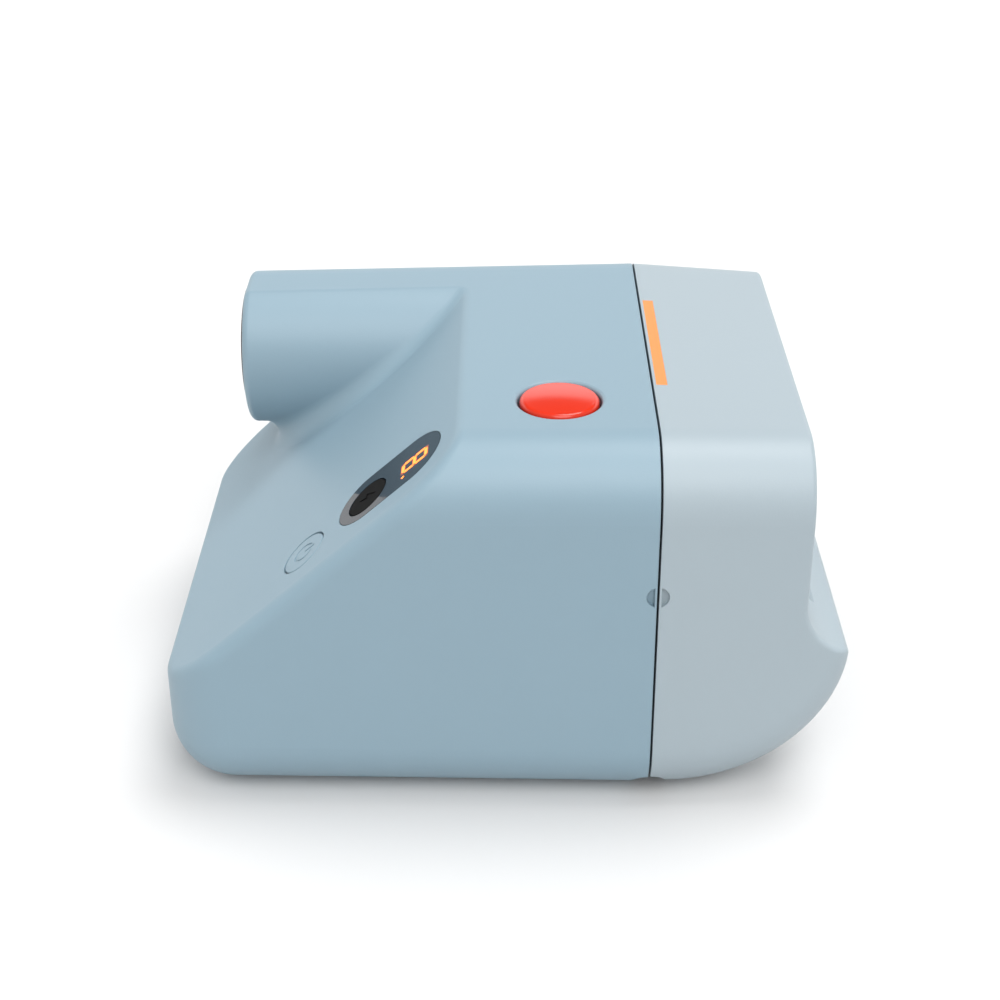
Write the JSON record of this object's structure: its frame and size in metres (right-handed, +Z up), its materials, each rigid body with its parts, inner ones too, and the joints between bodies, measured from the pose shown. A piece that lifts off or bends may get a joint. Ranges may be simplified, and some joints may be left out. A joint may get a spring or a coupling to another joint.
{
  "type": "instant camera",
  "caption": "Small two-tone instant camera with a sloping back, raised viewfinder tube, red top button, lit frame counter, swing-down front shell, film rollers and a scooped film exit.",
  "frame": {"origin": "middle of the footprint on the flat base, at the lowest point of the body", "axes": "+Z up, -Y is the side with the lens and the film exit, +Y is the sloping back, and -X is on the viewer's right"},
  "size_m": [0.0838, 0.105, 0.0615],
  "materials": {
    "blue_shell": "satin moulded plastic",
    "pale_shell": "satin moulded plastic",
    "black_frame": "moulded black",
    "red_key": "glossy",
    "smoked_window": "polished, dark tint",
    "display_figure": "lit",
    "black_key": "satin",
    "accent": "satin",
    "clear_glass": "polished, coated",
    "frosted_window": "ribbed",
    "steel": "turned",
    "bright_metal": "polished",
    "mirror_glass": "front silvered",
    "film_plastic": "moulded",
    "film_paper": "smooth",
    "board": "solder mask",
    "cell_wrap": "foil wrap",
    "gear_plastic": "moulded",
    "capacitor_sleeve": "shrink sleeve"
  },
  "bodies": {
    "housing": {"rear_shell": "blue_shell", "seam_frame": "black_frame", "film_tray": "black_frame", "base_screws": "steel", "film_cartridge": "film_plastic", "film_stack": "film_paper", "dark_box": "black_frame", "mirror": "mirror_glass", "shutter_housing": "black_frame", "lens_barrel": "black_frame", "front_element": "clear_glass", "rear_element": "clear_glass", "finder_tunnel": "black_frame", "finder_objective": "clear_glass", "eyepiece_lens": "clear_glass", "eyepiece_ring": "black_frame", "button_switch": "board", "display_window": "smoked_window", "counter_digit": "display_figure", "key_board": "board", "battery": "cell_wrap", "flash_capacitor": "capacitor_sleeve", "main_board": "board", "charge_socket": "steel", "hinge_pin": "steel"},
    "door": {"front_shell": "pale_shell", "accent_strip": "accent", "lens_bezel": "black_frame", "lens_window": "clear_glass", "finder_window": "smoked_window", "flash_window": "frosted_window", "sensor_window": "smoked_window", "flash_reflector": "bright_metal", "flash_tube": "clear_glass", "slot_seal": "black_frame", "roller_frame": "black_frame", "motor": "steel"},
    "lower_roller": {"lower_roller": "steel", "lower_roller_gear": "gear_plastic"},
    "upper_roller": {"upper_roller": "steel", "upper_roller_gear": "gear_plastic"},
    "idler": {"idler_gear": "gear_plastic"},
    "pinion": {"motor_pinion": "gear_plastic"},
    "top_button": {"shutter_button": "red_key"},
    "mode_button": {"mode_key": "black_key"},
    "power_button": {"power_key": "blue_shell"},
    "release_button": {"door_release": "blue_shell"},
    "pick": {"pick_arm": "steel"},
    "blade_a": {"shutter_blade_a": "black_frame"},
    "blade_b": {"shutter_blade_b": "black_frame"}
  },
  "joints": [
    {"name": "door_hinge", "type": "hinge", "parent": "housing", "child": "door", "pos_m": [0, -0.02285, 0.0019], "axis": [1, 0, 0], "range_deg": [0, 75]},
    {"name": "top_press", "type": "slide", "parent": "housing", "child": "top_button", "axis": [0, 0, -1], "range_m": [0, 0.0008], "stiffness_N_per_m": 1500, "springref_m": -0.0008},
    {"name": "mode_press", "type": "slide", "parent": "housing", "child": "mode_button", "axis": [0, -0.6639, -0.7478], "range_m": [0, 0.0005], "stiffness_N_per_m": 1500, "springref_m": -0.0008},
    {"name": "power_press", "type": "slide", "parent": "housing", "child": "power_button", "axis": [0, -0.6639, -0.7478], "range_m": [0, 0.0005], "stiffness_N_per_m": 1500, "springref_m": -0.0008},
    {"name": "release_press", "type": "slide", "parent": "housing", "child": "release_button", "axis": [-1, 0, 0], "range_m": [0, 0.0008], "stiffness_N_per_m": 1500, "springref_m": -0.0008},
    {"name": "pick_slide", "type": "slide", "parent": "housing", "child": "pick", "axis": [0, -1, 0], "range_m": [0, 0.0036], "stiffness_N_per_m": 60, "springref_m": -0.004},
    {"name": "lower_roller_spin", "type": "hinge", "parent": "door", "child": "lower_roller", "pos_m": [0, -0.031, 0.02358], "axis": [1, 0, 0], "continuous": true},
    {"name": "upper_roller_spin", "type": "hinge", "parent": "door", "child": "upper_roller", "pos_m": [0, -0.031, 0.03042], "axis": [1, 0, 0], "continuous": true},
    {"name": "idler_spin", "type": "hinge", "parent": "door", "child": "idler", "pos_m": [0, -0.03514, 0.01545], "axis": [1, 0, 0], "continuous": true},
    {"name": "pinion_spin", "type": "hinge", "parent": "door", "child": "pinion", "pos_m": [0, -0.02899, 0.00951], "axis": [1, 0, 0], "continuous": true},
    {"name": "blade_a_swing", "type": "hinge", "parent": "housing", "child": "blade_a", "pos_m": [0, -0.0293, 0.0396], "axis": [0, 1, 0], "range_deg": [0, 55], "stiffness_Nm_per_rad": 0.0002, "springref_deg": -28.65},
    {"name": "blade_b_swing", "type": "hinge", "parent": "housing", "child": "blade_b", "pos_m": [0, -0.0293, 0.0396], "axis": [0, 1, 0], "range_deg": [-55, 0]}
  ],
  "couplings": [
    {"joint": "upper_roller_spin", "follows": "lower_roller_spin", "ratio": -1},
    {"joint": "idler_spin", "follows": "lower_roller_spin", "ratio": -0.6},
    {"joint": "pinion_spin", "follows": "lower_roller_spin", "ratio": 1.2},
    {"joint": "blade_b_swing", "follows": "blade_a_swing", "ratio": -1}
  ]
}
